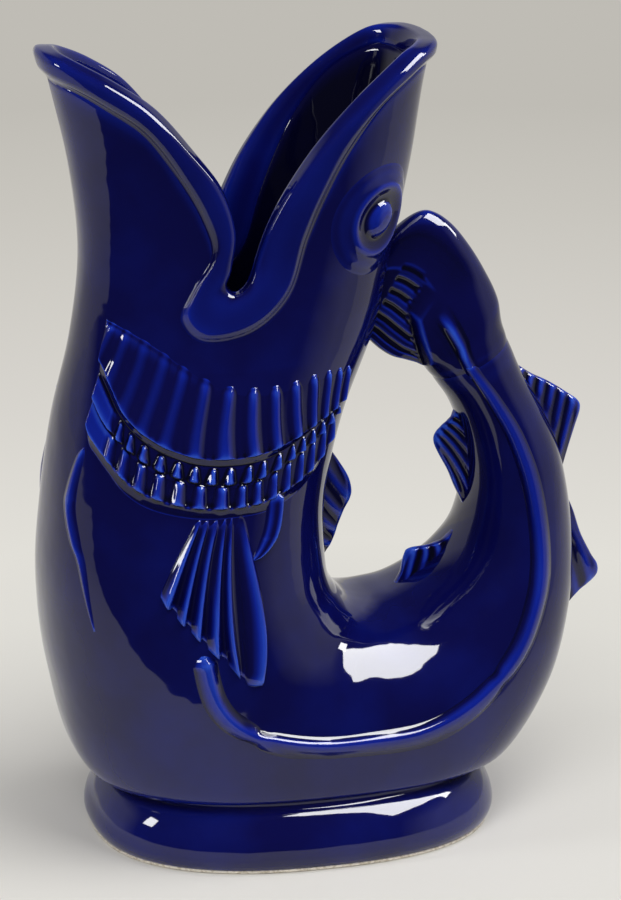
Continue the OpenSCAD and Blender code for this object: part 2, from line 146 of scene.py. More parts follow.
def lipPlace(u, v):  # u runs once round the mouth, v from the lip's outer edge (0) to the mouth edge (1)
    k = skinShape
    s = 2 * u - 1
    r = along(k["lip"], (len(k["lip"]) - 1) * (k["lipFrom"] + (k["lipTo"] - k["lipFrom"]) * abs(s)))
    edge = placeAt(r[0] * k["length"], r[1] * k["height"])
    outer = placeAt(r[2] * k["length"], r[3] * k["height"])
    return outer[0] + v * (edge[0] - outer[0]), math.copysign(outer[1] + v * (edge[1] - outer[1]), s)


meshLimits = {"weld": 0.004, "sliver": 0.003, "flatSides": 6}  # the first two in millimetres


def makePiece(name, nodes, slot, us, vs, place, capped=False):  # place(u, v) gives millimetres and a lift of the glaze colour, mostly painted highlight and painted shade
    bm = bmesh.new()
    lift = bm.verts.layers.float.new("paintedLightAndGlazeLift")
    bmesh.ops.create_grid(bm, x_segments=us, y_segments=vs, size=0.5)
    for v in bm.verts:
        point, v[lift] = place(v.co.x + 0.5, v.co.y + 0.5)
        v.co = point * mm
    bmesh.ops.remove_doubles(bm, verts=bm.verts, dist=meshLimits["weld"] * mm)
    bmesh.ops.dissolve_degenerate(bm, edges=bm.edges, dist=meshLimits["sliver"] * mm)
    if capped:
        bmesh.ops.holes_fill(bm, edges=[e for e in bm.edges if e.is_boundary], sides=0)
    bmesh.ops.recalc_face_normals(bm, faces=bm.faces)
    markGlazeAndShade(bm)
    mesh = bpy.data.meshes.new(name)
    bm.to_mesh(mesh)
    openEdges = sum(1 for e in bm.edges if not e.is_manifold)
    bm.free()
    for p in mesh.polygons:
        p.use_smooth = len(p.vertices) < meshLimits["flatSides"]
    piece = bpy.data.objects.new(name, mesh)
    bpy.context.scene.collection.objects.link(piece)
    mesh.materials.append(materials[slot])
    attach(piece, "root")
    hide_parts(*nodes)
    print("piece", name, len(mesh.polygons), "faces, open edges", openEdges)


glazeAndShadeSpread = {"reach": 1.6, "passes": 3}  # millimetres of bend that shift the glaze colour fully, lighter on bulges and darker in hollows, and how far it spreads


def markGlazeAndShade(bm):  # the glaze is coloured lighter on what bulges and darker in what is hollow, partly as thin and pooled glaze and partly as painted highlight and painted shade; the painted light lift is added on top
    bm.normal_update()
    bm.verts.index_update()
    layer = bm.verts.layers.float.new("glazeThinAndShade")
    lift = bm.verts.layers.float["paintedLightAndGlazeLift"]
    values = []
    for v in bm.verts:
        near = [e.other_vert(v).co for e in v.link_edges]
        span = sum((p - v.co).length_squared for p in near) / max(1, len(near))
        mean = sum(near, Vector()) / max(1, len(near))
        bend = 2 * glazeAndShadeSpread["reach"] * mm * (v.co - mean).dot(v.normal) / max(span, 1e-12)
        values.append(max(-1, min(1, bend)))
    for _ in range(glazeAndShadeSpread["passes"]):
        values = [(values[v.index] + sum(values[e.other_vert(v).index] for e in v.link_edges))
                  / (1 + len(v.link_edges)) for v in bm.verts]
    for v in bm.verts:
        v[layer] = 0.5 + 0.5 * values[v.index] + v[lift]


def addNode(tree, kind, settings=None, links=None):
    node = tree.nodes.new(kind)
    for key, value in (settings or {}).items():
        if isinstance(key, int) or key in node.inputs:
            node.inputs[key].default_value = value
        else:
            setattr(node, key, value)
    for key, source in (links or {}).items():
        tree.links.new(source, node.inputs[key])
    return node


def newMaterial(name):
    material = bpy.data.materials.new(name)
    material.use_nodes = True
    tree = material.node_tree
    tree.nodes.clear()
    return material, tree


def colourRamp(tree, stops, share):  # stops are positions and sRGB colours
    ramp = addNode(tree, "ShaderNodeValToRGB", None, {"Fac": share})
    elements = ramp.color_ramp.elements
    for i, (position, code) in enumerate(stops):
        stop = elements[i] if i < 2 else elements.new(position)
        stop.position, stop.color = position, linear(code)
    return ramp.outputs["Color"]


glazeLook = {
    "stops": [(0.3, "#04041A"), (0.5, "#090A46"), (0.64, "#0F2290"), (0.86, "#2C50C4")],
    "roughness": 0.045, "ior": 1.52, "cloud": 38.0, "drift": 0.09, "peel": 60.0,
    "bump": {"Strength": 0.5, "Distance": 0.0005},
}


def cobaltGlaze():  # cobalt-stained glaze, deep and glossy; its colour is painted lighter over edges and darker in hollows, partly thin and pooled glaze and partly painted highlight and painted shade
    k = glazeLook
    material, tree = newMaterial("cobaltGlaze")
    coords = addNode(tree, "ShaderNodeTexCoord")
    thinAndShade = addNode(tree, "ShaderNodeAttribute", {"attribute_name": "glazeThinAndShade"})
    cloud = addNode(tree, "ShaderNodeTexNoise", {"Scale": k["cloud"], "Detail": 3.0},
                    {"Vector": coords.outputs["Object"]})
    drift = addNode(tree, "ShaderNodeMath", {"operation": "MULTIPLY_ADD", 1: k["drift"], 2: -k["drift"] / 2},
                    {0: cloud.outputs["Fac"]})
    amount = addNode(tree, "ShaderNodeMath", {"operation": "ADD"},
                     {0: thinAndShade.outputs["Fac"], 1: drift.outputs["Value"]})
    colour = colourRamp(tree, k["stops"], amount.outputs["Value"])
    peel = addNode(tree, "ShaderNodeTexNoise", {"Scale": k["peel"], "Detail": 2.0},
                   {"Vector": coords.outputs["Object"]})
    bump = addNode(tree, "ShaderNodeBump", k["bump"], {"Height": peel.outputs["Fac"]})
    shader = addNode(tree, "ShaderNodeBsdfPrincipled", {"Roughness": k["roughness"], "IOR": k["ior"]},
                     {"Base Color": colour, "Normal": bump.outputs["Normal"]})
    addNode(tree, "ShaderNodeOutputMaterial", None, {"Surface": shader.outputs["BSDF"]})
    return material


clayLook = {
    "stops": [(0.35, "#BFB4A0"), (0.55, "#E2DBCD")], "roughness": 0.85, "grain": 900.0,
    "bump": {"Strength": 0.2, "Distance": 0.0002},
}


def bareClay():  # earthenware wiped clean and fired bare: matt and chalky, with fine dark grog
    k = clayLook
    material, tree = newMaterial("bareEarthenware")
    coords = addNode(tree, "ShaderNodeTexCoord")
    grog = addNode(tree, "ShaderNodeTexNoise", {"Scale": k["grain"], "Detail": 4.0},
                   {"Vector": coords.outputs["Object"]})
    colour = colourRamp(tree, k["stops"], grog.outputs["Fac"])
    bump = addNode(tree, "ShaderNodeBump", k["bump"], {"Height": grog.outputs["Fac"]})
    shader = addNode(tree, "ShaderNodeBsdfPrincipled", {"Roughness": k["roughness"]},
                     {"Base Color": colour, "Normal": bump.outputs["Normal"]})
    addNode(tree, "ShaderNodeOutputMaterial", None, {"Surface": shader.outputs["BSDF"]})
    return material


materials = {"cobalt_glaze": cobaltGlaze(), "bare_clay": bareClay()}
print("materials made")

# The hollow shell runs from the tail's end down and round to the lip, and back inside to the bore's end
shellShape = {
    "around": 200, "outerRows": 190, "headRows": 34, "innerRows": 70, "poleRows": 5, "boreEndRow": 19,
    # the inside of the jug is painted darker: a painted shade
    "insideShade": -0.2, "underFan": -0.3, "underFanRows": 0.5,  # the shell dips a little under the tail fan
}


def shellStations():  # for each row of the shell: its kind, its share, its section row and its depth
    k, s = shellShape, skinShape
    end, neck, boreEnd, wall = s["tailEndRow"], s["neckRow"], k["boreEndRow"], -s["wall"]
    stations = [("cap", i / k["poleRows"], end, k["underFan"]) for i in range(k["poleRows"])]
    for i in range(k["outerRows"]):
        row = end + (neck - end) * i / k["outerRows"]
        stations.append(("ring", 1, row, k["underFan"] * smooth(end - k["underFanRows"], end, row)))
    stations += [("head", i / k["headRows"], neck, 0) for i in range(k["headRows"] + 1)]
    stations += [("head", 1 - i / k["headRows"], neck, wall) for i in range(k["headRows"])]
    stations += [("ring", 1, neck + (boreEnd - neck) * i / k["innerRows"], wall) for i in range(k["innerRows"])]
    return stations + [("cap", 1 - i / k["poleRows"], boreEnd, wall) for i in range(k["poleRows"] + 1)]


shellRows = shellStations()


def shellPlace(u, v):
    kind, share, row, out = shellRows[round(v * (len(shellRows) - 1))]
    angle = 360 * u - 180
    lift = shellShape["insideShade"] if out <= -skinShape["wall"] else 0
    if kind == "cap":
        middle = (skin(row, 0, out) + skin(row, 180, out)) / 2
        return middle.lerp(skin(row, angle, out), share), lift
    if kind == "head":
        t, a = lipPlace(u, 0)
        return skin(row + share * (t - row), angle + share * (a - angle), out), lift
    return skin(row, angle, out), lift


rimShape = {
    "around": 260, "section": 52, "proud": 1.9, "lift": 0.03,
    "leastWidth": 7.2,  # a narrower lip overhangs less
    "rows": [  # share of the way up to the mouth edge, millimetres on from there, share of proud, of the wall
        [0, 0, 0, 1], [0.5, 0, 0, 1.1], [0.96, 0, 0, 0.95], [1.01, 0, 0, 0.4], [1, 0, 0.14, 0],
        [0.95, 0, 0.54, 0], [0.86, 0, 0.84, 0], [0.72, 0, 1.02, 0], [0.46, 0, 1.05, 0], [0, 2.8, 1, 0],
        [0, 1.9, 0.82, 0], [0, 1, 0.54, 0], [0, 0.2, 0.24, 0], [0, -0.5, 0.06, 0], [0, -1.1, -0.02, 0],
        [0, -1.4, -0.2, 0], [0, -0.7, -0.3, 0.5], [0, 0, 0, 1]],
}


def rimPlace(u, v):
    k = rimShape
    share, on, proud, deep = along(k["rows"], v * (len(k["rows"]) - 1))
    width = (skin(*lipPlace(u, 1)) - skin(*lipPlace(u, 0))).length
    t, a = lipPlace(u, share + on / max(width, k["leastWidth"]))
    # the lip is painted a little lighter where it stands proud: a painted highlight on the roll
    return skin(t, a, proud * k["proud"] - deep * skinShape["wall"]), k["lift"] * proud


makePiece("jugShell", ["head", "throat", "belly", "tail_root", "tail"], "cobalt_glaze",
          shellShape["around"], len(shellRows) - 1, shellPlace)
makePiece("rolledLip", ["mouth_rim"], "cobalt_glaze", rimShape["around"], rimShape["section"], rimPlace)

footShape = {
    "length": 124, "width": 99, "squareness": 2.4, "shoulder": 7, "recess": 9, "round": 2,
    "ringWidth": 9, "ringHeight": 1.2, "ringSquareness": (6, 4), "ringSection": 24,
    "around": 160, "section": 60,
    "side": 0.4, "recessTurn": 0.3, "recessWall": 0.8,  # shares of the section, and of its part before the side
    "rows": [  # share of the height, of the shoulder
        [0, 0.25], [0.08, 0.1], [0.2, 0], [0.34, 0.02], [0.5, 0.14], [0.66, 0.36], [0.8, 0.64],
        [0.9, 0.95], [1, 1]],
}


def footPoint(u, inset, z):
    k = footShape
    a = math.radians(360 * u)
    return Vector(((k["length"] / 2 - inset) * squared(math.cos(a), k["squareness"]),
                   (k["width"] / 2 - inset) * squared(math.sin(a), k["squareness"]), z))


def footPlace(u, v):  # out of the recess, across the sole and up the side
    k = footShape
    sole = k["rows"][0][1] * k["shoulder"]
    inner, turn = sole + k["ringWidth"], k["round"]
    if v >= k["side"]:
        top = skinShape["floor"] + sink
        share, inset = along(k["rows"], (v - k["side"]) / (1 - k["side"]) * (len(k["rows"]) - 1))
        return footPoint(u, inset * k["shoulder"], k["ringHeight"] + share * (top - k["ringHeight"])), 0
    s = v / k["side"]
    if s < k["recessTurn"]:
        a = math.radians(90 * s / k["recessTurn"])
        return footPoint(u, inner + turn * (1 - math.sin(a)), k["recess"] - turn * (1 - math.cos(a))), 0
    if s < k["recessWall"]:
        low = k["recess"] - turn
        down = (s - k["recessTurn"]) / (k["recessWall"] - k["recessTurn"])
        return footPoint(u, inner, low - down * (low - k["ringHeight"])), 0
    across = (s - k["recessWall"]) / (1 - k["recessWall"])
    return footPoint(u, inner - across * k["ringWidth"], k["ringHeight"]), 0


def ringPlace(u, v):
    k = footShape
    a = math.radians(360 * v)
    middle = k["rows"][0][1] * k["shoulder"] + k["ringWidth"] / 2
    flat, tall = k["ringSquareness"]
    return footPoint(u, middle - k["ringWidth"] / 2 * squared(math.cos(a), flat),
                     k["ringHeight"] / 2 * (1 + squared(math.sin(a), tall))), 0


makePiece("plinthFoot", ["foot"], "cobalt_glaze", footShape["around"], footShape["section"], footPlace,
          capped=True)
makePiece("standingRing", ["foot_ring"], "bare_clay", footShape["around"], footShape["ringSection"], ringPlace)


def flankPiece(name, node, us, vs, place):  # the same relief on the right and the left flank
    for side, word in ((-1, "left"), (1, "right")):
        def onFlank(u, v):
            t, a, out, lift = place(u, v)
            return skin(t, side * a, out), lift
        makePiece(name + word.capitalize(), [node + "_" + word], "cobalt_glaze", us, vs, onFlank, capped=True)


collarShape = {
    "proud": 2.2, "around": 520, "section": 120, "bright": 0.19, "dark": 0.05, "ends": (0, 0.035, 1, 0.985),
    "cheek": (46, 41), "cheekHeight": 0.86,  # the lower tiers' beads run together at the front
    "shallow": (96, 52), "shallowShare": 0.6,  # the first tier's ribs flatten towards the front
    "crown": (0.35, 0.28), "flank": (0.6, 0.1), "leastHalf": 0.05,  # how a rib rounds off from its middle
    "rows": [  # angle, then the section rows of the four lines across the collar
        [30, 3.6, 4.05, 4.5, 4.76], [33, 3.62, 4.13, 4.58, 4.9], [38, 3.65, 4.28, 4.72, 5.02],
        [45, 3.71, 4.52, 4.88, 5.18], [52, 3.79, 4.71, 5.01, 5.34], [60, 3.91, 4.86, 5.15, 5.48],
        [69, 4.07, 4.99, 5.27, 5.58], [80, 4.24, 5.1, 5.375, 5.66], [90, 4.33, 5.14, 5.43, 5.7],
        [100, 4.35, 5.13, 5.43, 5.7], [109, 4.33, 5.08, 5.36, 5.665], [118, 4.29, 4.99, 5.24, 5.58],
        [128, 4.28, 4.87, 5.11, 5.46], [137, 4.3, 4.78, 4.98, 5.3], [145, 4.32, 4.7, 4.86, 5.08]],
    "centres": [  # angles of the ribs' middles: the first tier's at its top and foot, then the other tiers'
        [27, 35, 43, 52, 61, 69, 78, 87, 94, 102, 110, 118, 126, 133, 140, 147],
        [22, 30, 38, 48, 58, 68, 80, 90, 100, 109, 118, 125, 131, 137, 143, 149],
        [42, 48, 53.5, 60, 67.5, 74.5, 81, 87.5, 92.5, 99.5, 105, 111.5, 117.5, 122.5, 127.5, 133, 138.5],
        [38, 45, 52, 60, 68, 76, 84, 91, 98, 104, 111, 117, 123.5, 129.5, 136, 142]],
    "profile": [  # line that it lies at, tier, half width of a rib, height in a groove, height on a rib
        [0, 0, 0.3, -0.2, -0.2], [0.03, 0, 0.3, -0.1, 0], [0.07, 0, 0.3, -0.05, 0.16],
        [0.14, 0, 0.34, -0.01, 0.4], [0.28, 0, 0.36, 0.05, 0.56], [0.6, 0, 0.38, 0.16, 0.74],
        [0.88, 0, 0.4, 0.34, 0.92], [0.97, 0, 0.4, 0.44, 0.96], [1, 0, 0.4, 0.5, 0.88],
        [1.03, 0, 0.4, 0.5, 0.6], [1.1, 0, 0.4, 0.38, 0.42], [1.22, 0, 0.4, 0.18, 0.2],
        [1.34, 0, 0.4, 0, 0], [1.42, 1, 0.2, 0, 0.1], [1.5, 1, 0.26, 0, 0.36],
        [1.7, 1, 0.32, 0, 0.64], [1.9, 1, 0.4, 0, 0.84], [1.97, 1, 0.42, 0, 0.76],
        [2.02, 1, 0.42, 0, 0.35], [2.06, 1, 0.42, 0, 0.02], [2.12, 2, 0.28, 0, 0.12], [2.2, 2, 0.32, 0, 0.42],
        [2.5, 2, 0.36, 0.08, 0.7], [2.84, 2, 0.42, 0.26, 0.92], [2.95, 2, 0.44, 0.4, 0.94],
        [3, 2, 0.44, 0.46, 0.72], [3.06, 2, 0.44, 0.42, 0.46], [3.2, 2, 0.44, 0.24, 0.26],
        [3.38, 2, 0.44, 0.06, 0.06], [3.5, 2, 0.44, -0.02, -0.02], [3.56, 2, 0.4, -0.2, -0.2],
        [3, 2, 0.4, -0.35, -0.35], [2, 1, 0.4, -0.35, -0.35], [1, 1, 0.4, -0.35, -0.35],
        [0, 0, 0.3, -0.2, -0.2]],
}


def countedFrom(centres, angle):  # how many ribs along an angle lies, as a whole number in the middle of a rib
    i = 0
    while i < len(centres) - 2 and angle > centres[i + 1]:
        i += 1
    return i + (angle - centres[i]) / (centres[i + 1] - centres[i])


def collarPlace(u, v):
    k = collarShape
    line = along(k["rows"], (len(k["rows"]) - 1) * u)
    angle = line[0]
    spot, tier, half, low, high = along(k["profile"], v * (len(k["profile"]) - 1))
    tier = min(2, max(0, round(tier)))
    if tier == 0:
        foot = min(1, max(0, spot))
        atTop, atFoot = (countedFrom(centres, angle) for centres in k["centres"][:2])
        phase = ((1 - foot) * atTop + foot * atFoot) % 1
    else:
        phase = countedFrom(k["centres"][tier + 1], angle) % 1
    off = min(phase, 1 - phase) / max(half, k["leastHalf"])
    rib = slant = 1 - smooth(0, 1, off)
    if off <= k["crown"][0]:
        rib = 1 - k["crown"][1] * (off / k["crown"][0]) ** 2
    if off < k["flank"][0]:
        rib = min(rib, slant + k["flank"][1])
    if tier == 0:
        low += (high - low) * k["shallowShare"] * smooth(*k["shallow"], angle)
    else:
        rib += smooth(*k["cheek"], angle) * (k["cheekHeight"] - rib)
    out = low + (high - low) * rib
    ends = band(k["ends"], u)
    i = min(2, max(0, int(spot)))
    t = line[1 + i] + (spot - i) * (line[2 + i] - line[1 + i])
    # ribs painted lighter and grooves darker: painted highlight and painted shade, partly thin and pooled glaze
    lift = max(0, high - low) * (rib * k["bright"] - (1 - rib) * k["dark"]) * ends
    return t, angle, k["proud"] * (out * ends if out > 0 else out), lift


pectoralShape = {
    "proud": 3, "across": 220, "section": 60, "bulge": 8, "bulgeFrom": 4.3, "bright": 0.23, "dark": 0.1,
    "face": 0.8, "firstEdge": 0.01, "rootShade": 0.2, "sunkEnds": (0, 0.06, 1, 0.97),
    "notch": 0.045, "notchAcross": (0, 0.08, 0.74, 0.6),  # between the tips of two ribs
    "rows": [  # angle and section row at the root, then at the free edge
        [84, 5.82, 70.5, 6.72], [86.3, 5.83, 76.5, 7.0], [89, 5.84, 81.3, 7.22], [91.8, 5.84, 86, 7.52],
        [94.4, 5.83, 90.5, 7.9], [96.6, 5.82, 93.6, 8.34], [100, 5.8, 98.6, 8.5]],
    "rib": [[0, 0.1], [0.1, 0.26], [0.25, 0.6], [0.38, 0.9], [0.46, 1], [0.54, 0.96], [0.62, 0.66], [0.7, 0.36],
            [0.8, 0.14], [0.9, 0.06], [1, 0.1]],
    "lastRib": 0.72,  # share of the profile that the last, broader rib spans
    "length": [[0, 0.14], [0.12, 0.3], [0.4, 0.5], [0.7, 0.82], [0.88, 1], [0.95, 0.98], [0.985, 0.7],
               [1, -0.12]],
}


def pectoralPlace(u, v):
    k = pectoralShape
    ribs = len(k["rows"]) - 1
    place = ribs * u
    r = along(k["rows"], place)
    rib = min(ribs - 1, int(place))
    f = place - rib
    f = f * k["lastRib"] if rib == ribs - 1 else f
    reach = 1 - k["notch"] + k["notch"] * band(k["notchAcross"], f)
    crest = curve(k["rib"], f) * smooth(0, k["firstEdge"], u)
    s = v / k["face"] if v <= k["face"] else (1 - v) / (1 - k["face"])
    bulge = k["bulge"] * smooth(k["bulgeFrom"], ribs, place) * math.sin(math.pi * s)
    if v <= k["face"]:
        out = curve(k["length"], s) * crest * k["proud"] - sink * (1 - band(k["sunkEnds"], s))
    else:
        out = -sink * (1 + 2 * v * (1 - v))
    # ribs painted lighter at their crests and darker in the valleys: painted highlight and painted shade, faded
    # out at the root
    lift = (crest ** 2 * k["bright"] - (1 - crest) * k["dark"]) * smooth(0, k["rootShade"], s)
    return r[1] + s * reach * (r[3] - r[1]), r[0] + s * reach * (r[2] - r[0]) + bulge, out, lift


beadShape = {"face": 0.7, "thinnest": 0.03, "pool": (0.55, 0.8)}  # the bead is painted darker along its two edges: painted shade, with some pooled glaze there


def beadPlace(k):  # a raised bead along a path of section rows and angles
    face = beadShape["face"]

    def place(u, v):
        t, a = along(k["rows"], (len(k["rows"]) - 1) * u)
        opening, closing, left = k["ends"]
        taper = max(beadShape["thinnest"], min(1, u / opening, left + (1 - u) / closing)) ** 0.5
        turn = taper * k["width"] / 2 / (skin(t, a + 1) - skin(t, a)).length
        if v <= face:
            s = 2 * v / face - 1
            high, under = curve(k["profile"], s), abs(s) ** 4
        else:
            s = 1 - 2 * (v - face) / (1 - face)
            high, under = 0, 1
        # the bead's crest is painted lighter and its edges darker: painted highlight and painted shade
        lift = k["bright"] * high - k["dark"] * smooth(*beadShape["pool"], abs(s)) * taper
        return t, a + s * turn, high * taper * k["proud"] - sink * under, lift
    return place


sideRidge = {
    "mesh": (260, 30), "width": 9, "proud": 2.3, "ends": (0.02, 0.4, 0.2), "bright": 0.05, "dark": 0.1,
    "profile": [[-1, 0], [-0.8, 0.08], [-0.5, 0.42], [-0.16, 0.86], [0.1, 1], [0.3, 0.92], [0.54, 0.46],
                [0.76, 0.1], [1, 0]],
    "rows": [[7.62, 84.5], [8.34, 84.5], [9.14, 89], [10.22, 94], [11.62, 95.5], [13.18, 91.5], [14.5, 85],
             [15.7, 84], [17.14, 91], [18.78, 98], [20, 104]],
}
throatRidge = {
    "mesh": (80, 24), "width": 8, "proud": 1.1, "ends": (0.4, 0.4, 0), "bright": 0.06, "dark": 0.05,
    "profile": [[-1, 0], [-0.6, 0.2], [-0.2, 0.8], [0, 1], [0.3, 0.7], [0.7, 0.15], [1, 0]],
    "rows": [[5.1, 30], [5.26, 28], [5.62, 25], [5.86, 25], [6.22, 30], [6.5, 35], [7.22, 41]],
}
pelvicFin = {
    "mesh": (60, 30), "width": 5.6, "proud": 2.3, "ends": (0.05, 0.5, 0), "bright": 0.05, "dark": 0.1,
    "profile": [[-1, 0], [-0.86, 0.16], [-0.6, 0.5], [0, 0.74], [0.45, 1], [0.62, 0.96], [0.8, 0.4],
                [0.92, 0.06], [1, 0]],
    "rows": [[5.6, 112.5], [5.84, 113], [6.04, 112.2], [6.2, 109.8], [6.32, 106.6], [6.38, 103.6]],
}

eyeShape = {
    "around": 96, "rings": 76, "middle": [2.58, 136.5], "length": [0, -14.5], "height": [0.4, 0], "proud": 2.6,
    "face": 0.75, "sunkBy": 0.85, "bright": 0.03, "brightWithin": (1.6, 1.1),
    "profile": [  # share of the way out to the ring's crest, share of proud
        [0, 1.06], [0.14, 1.03], [0.28, 0.93], [0.4, 0.74], [0.5, 0.48], [0.56, 0.27], [0.62, 0.18],
        [0.72, 0.24], [0.86, 0.46], [0.95, 0.62], [1, 0.66], [1.06, 0.62], [1.13, 0.46], [1.22, 0.36],
        [1.38, 0.26], [1.52, 0.12], [1.64, 0.02], [1.74, -0.12]],
}


def eyePlace(u, v):
    k = eyeShape
    a = math.radians(360 * u)
    edge, low = k["profile"][-1]
    if v <= k["face"]:
        r = v / k["face"] * edge
        out = curve(k["profile"], r) * k["proud"]
    else:
        r = (1 - v) / (1 - k["face"]) * edge
        out = low * k["proud"] - sink * smooth(k["face"], k["sunkBy"], v)
    across, up = r * math.cos(a), r * math.sin(a)
    t, angle = (m + across * w + up * h for m, w, h in zip(k["middle"], k["length"], k["height"]))
    # the eye is painted a little lighter: a painted highlight
    return t, angle, out, k["bright"] * smooth(*k["brightWithin"], r)


flankPiece("gillCollar", "gill_collar", collarShape["around"], collarShape["section"], collarPlace)
flankPiece("pectoralFin", "pectoral_fin", pectoralShape["across"], pectoralShape["section"], pectoralPlace)
flankPiece("pelvicFin", "pelvic_fin", *pelvicFin["mesh"], beadPlace(pelvicFin))
flankPiece("sideRidge", "side_ridge", *sideRidge["mesh"], beadPlace(sideRidge))
flankPiece("throatRidge", "throat_ridge", *throatRidge["mesh"], beadPlace(throatRidge))
flankPiece("eye", "eye", eyeShape["around"], eyeShape["rings"], eyePlace)

finShape = {
    "height": 10.6, "thickness": 7, "root": 1.2, "along": 120, "section": 48, "face": 0.8, "swell": 1.5,
    "thinning": (0.62, 0.8), "edge": (0.25, 0.6), "relief": 0.2, "reliefFrom": 0.2, "bright": 0.07, "dark": 0.6,
}


def finPlace(rows, facing, ribs):  # a small fin in the plane of symmetry, its ribs parallel to its last edge
    k = finShape
    last = len(rows) - 1
    first, end = rows[0][0], rows[last][0]
    tip = max(rows, key=lambda r: r[1])

    def place(u, v):
        row, high = along(rows, last * u)
        root = first + (end - first) * u
        high = max(high, 0)
        under = v > k["face"]  # s is -1 and 1 at the two sides of the root
        s = 1 - 2 * (v - k["face"]) / (1 - k["face"]) if under else 2 * v / k["face"] - 1
        rise = 0 if under else 1 - abs(s) ** k["swell"]
        t = root + (row - root) * rise
        across = (t + rise * high / tip[1] * (end - tip[0]) - first) / (end - first)
        rib = 0.5 - 0.5 * math.cos(2 * math.pi * across * ribs)
        half = k["thickness"] / 2 * (1 - k["thinning"][0] * rise ** k["thinning"][1])
        half *= 1 - k["relief"] * (1 - rib) * smooth(0, k["reliefFrom"], rise)
        side = s if under else math.copysign(min(1, abs(s) / k["edge"][0]) ** k["edge"][1], s)
        p = skin(t, facing, rise * high * k["height"] - (1 - rise) * k["root"])
        # ribs painted lighter and grooves darker towards the fin's edge: painted highlights and painted shade
        return Vector((p.x, side * half, p.z)), k["bright"] * rise * (2 * rib - k["dark"])
    return place


finRows = {  # angle that it stands at, ribs, then section row and share of the height along its edge
    "back_fin": (180, 5, [
        [7.2, 0], [6.85, 0.42], [6.6, 0.62], [6.4, 0.8], [6.24, 0.98], [6.12, 1], [5.95, 0.86], [5.76, 0.54],
        [5.5, 0]]),
    "tail_inner_fin_upper": (180, 5, [
        [18.75, 0], [18.6, 0.2], [18.49, 0.54], [18.36, 0.78], [18.15, 0.86], [17.8, 0.77], [17.37, 0.56],
        [16.94, 0.34], [16.5, 0]]),
    "tail_inner_fin_lower": (180, 4, [
        [15.8, 0], [15.4, 0.12], [15.1, 0.35], [14.8, 0.62], [14.5, 0.7], [14.2, 0.6], [13.8, 0.42],
        [13.4, 0.2], [12.9, 0]]),
    "tail_outer_fin_upper": (0, 6, [
        [19.1, 0], [18.75, 0.26], [18.48, 0.52], [18.07, 0.86], [17.84, 1.06], [17.66, 1.04], [17.37, 0.72],
        [17.08, 0.4], [16.7, 0]]),
    "tail_outer_fin_lower": (0, 3, [
        [14.6, 0], [14.95, 0.46], [15.1, 0.76], [15.24, 1.02], [15.36, 1], [15.49, 0.76], [15.75, 0.44],
        [16.1, 0.22], [16.4, 0]]),
}
for node, (facing, ribs, rows) in finRows.items():
    makePiece("".join(w.capitalize() for w in node.split("_")), [node], "cobalt_glaze",
              finShape["along"], finShape["section"], finPlace(rows, facing, ribs), capped=True)

tailFinShape = {
    "around": 300, "along": 190, "start": -0.3, "squareness": 2.3, "dark": 0.04,
    "sunk": 0.03, "sunkTo": 0.05,  # the fan's first rows lie just inside the tail's end
    "rays": {"first": 0.46, "pitch": 0.1, "bevel": 0.7, "from": 0.42, "edge": (0.37, 0.46),
             "root": 3.8, "slant": 10, "slantFrom": 0.665, "before": 0.5, "after": 0.4},
    "slots": {"deep": 0.48, "dark": 0.12, "width": (0.1, 0.62), "start": 0.55, "lead": 0.75, "before": 0.1,
              "after": 0.25, "end": (6.2, 5.9), "faint": 0.6, "faintBelow": (0.74, 0.9), "edge": (1, 0.92)},
    "dish": {"deep": 0.5, "dark": 0.08, "down": (0.05, 0.18, 0.44, 0.16), "rows": (1.6, 3.4)},
    "crest": {"proud": 1.1, "bright": 0.096, "above": 0.1, "below": 0.06, "rows": (3.05, 1.6),
              "line": [[-0.3, 0.65], [0, 0.635], [0.55, 0.62], [1.15, 0.6], [1.9, 0.565], [2.55, 0.54],
                       [3, 0.52]]},  # the end of the side ridge, as shares down the fan
    "hollow": {"deep": 0.3, "below": (0.02, 0.12, 0.34, 0.16), "rows": (-0.3, 0.6, 3.2, 2)},
    "rows": [  # upper edge x and z, lower edge x and z, half width
        [0.667, 0.596, 0.435, 0.548, 0.3], [0.643, 0.638, 0.4, 0.56, 0.26], [0.603, 0.672, 0.36, 0.566, 0.23],
        [0.559, 0.701, 0.32, 0.571, 0.2], [0.508, 0.727, 0.285, 0.58, 0.175],
        [0.456, 0.743, 0.255, 0.591, 0.155], [0.41, 0.746, 0.235, 0.6, 0.14],
        [0.35, 0.733, 0.225, 0.62, 0.13], [0.288, 0.708, 0.215, 0.64, 0.12]],
}


def tailFinRow(n):  # the fan's section, going on from the tail without a kink
    k, tail = tailFinShape["rows"], skinShape["rows"]
    if n < 0:
        return along(tail, len(tail) - 1 + n)[:5]
    before = [b - 2 * (q - p) for b, q, p in zip(k[1], tail[-1], tail[-2])]
    return along([before] + k, n + 1)


